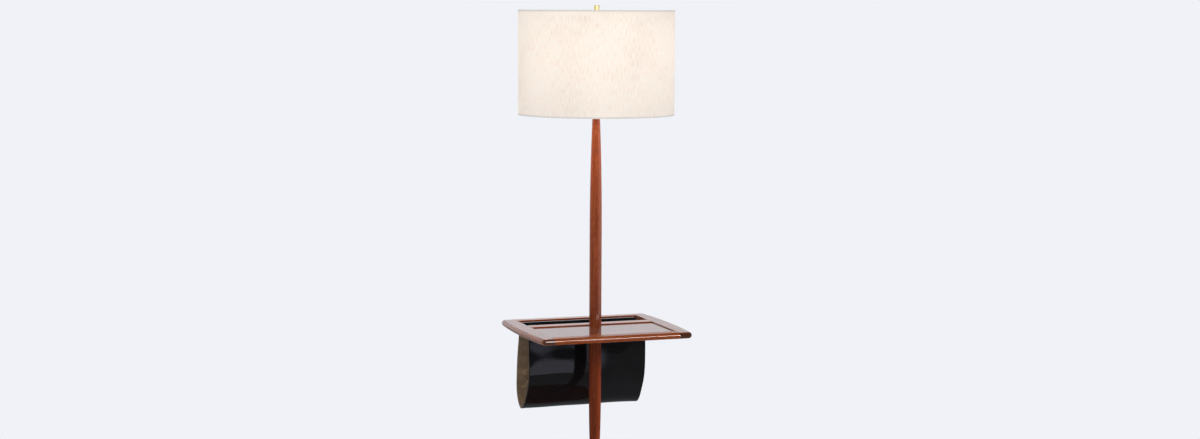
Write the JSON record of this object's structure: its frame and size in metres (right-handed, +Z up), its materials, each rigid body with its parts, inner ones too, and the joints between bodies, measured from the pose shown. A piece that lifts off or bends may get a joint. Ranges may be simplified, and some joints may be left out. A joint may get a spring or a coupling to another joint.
{
  "type": "floor lamp with table",
  "caption": "Floor lamp on a turned wooden pole and round base, with a framed wooden table, a slot with a hanging leather magazine sling, and a drum shade on a harp.",
  "frame": {"origin": "on the pole's axis at the floor, under the middle of the base", "axes": "+Z up along the pole, +X along the table's width, towards the right-hand side rail, -Y towards the table's front, +Y towards the magazine sling"},
  "size_m": [0.48, 0.4578, 1.5024],
  "materials": {
    "walnut_pole": "satin lacquer over dark red-brown turned wood",
    "walnut_rail": "gloss lacquer over red-brown wood",
    "walnut_panel": "gloss lacquer over red-brown wood",
    "walnut_base": "satin lacquer over dark red-brown turned wood",
    "black_leather": "smooth, polished",
    "brass": "polished, lacquered",
    "steel": "plain",
    "iron": "as cast",
    "felt": "dense felt",
    "black_plastic": "moulded",
    "black_grommet": "moulded",
    "linen": "fine plain weave, lit from inside",
    "linen_tape": "folded tape",
    "shade_sheet": "translucent white sheet",
    "white_wire": "white enamel",
    "insulating_paper": "plain",
    "thread_metal": "rolled thread",
    "bulb_glass": "frosted, lit"
  },
  "bodies": {
    "stand": {"base_pad": "felt", "base_disc": "walnut_base", "base_weight": "iron", "base_washer": "steel", "base_nut": "steel", "cord_inlet": "black_grommet", "lower_pole": "walnut_pole", "upper_pole": "walnut_pole", "lamp_pipe": "steel", "left_rail": "walnut_rail", "right_rail": "walnut_rail", "front_rail": "walnut_rail", "back_rail": "walnut_rail", "cross_rail": "walnut_rail", "rail_dowels": "walnut_rail", "table_panel": "walnut_panel", "table_plate": "steel", "plate_screws": "steel", "magazine_sling": "black_leather", "front_sling_rod": "steel", "rear_sling_rod": "steel", "pole_cap": "brass", "harp_saddle": "brass", "holder_cap": "brass", "holder_shell": "brass", "holder_liner": "insulating_paper", "holder_core": "black_plastic", "thread_shell": "thread_metal", "centre_contact": "brass"},
    "switch": {"switch_shaft": "brass", "switch_knob": "black_plastic"},
    "bulb": {"bulb_base": "thread_metal", "bulb_glass": "bulb_glass"},
    "harp": {"harp": "brass", "harp_stud": "brass"},
    "left_ferrule": {"left_ferrule": "brass"},
    "right_ferrule": {"right_ferrule": "brass"},
    "shade": {"shade_top_ring": "white_wire", "shade_bottom_ring": "white_wire", "spider_arms": "white_wire", "spider_hub": "white_wire", "shade_fabric": "linen", "shade_backing": "shade_sheet", "shade_top_trim": "linen_tape", "shade_bottom_trim": "linen_tape"},
    "finial": {"finial": "brass"}
  },
  "joints": [
    {"name": "switch_turn", "type": "hinge", "parent": "stand", "child": "switch", "pos_m": [0, -0.02, 1.2525], "axis": [0, -1, 0], "continuous": true},
    {"name": "bulb_turn", "type": "hinge", "parent": "stand", "child": "bulb", "pos_m": [0, 0, 1.28], "axis": [0, 0, 1], "continuous": true},
    {"name": "harp_lift", "type": "slide", "parent": "stand", "child": "harp", "axis": [0, 0, 1], "range_m": [0, 0.03]},
    {"name": "left_ferrule_slide", "type": "slide", "parent": "harp", "child": "left_ferrule", "axis": [0, 0, 1], "range_m": [0, 0.03]},
    {"name": "right_ferrule_slide", "type": "slide", "parent": "harp", "child": "right_ferrule", "axis": [0, 0, 1], "range_m": [0, 0.03]},
    {"name": "shade_turn", "type": "hinge", "parent": "harp", "child": "shade", "pos_m": [0, 0, 1.476], "axis": [0, 0, 1], "continuous": true},
    {"name": "finial_turn", "type": "hinge", "parent": "harp", "child": "finial", "pos_m": [0, 0, 1.49], "axis": [0, 0, 1], "continuous": true}
  ]
}
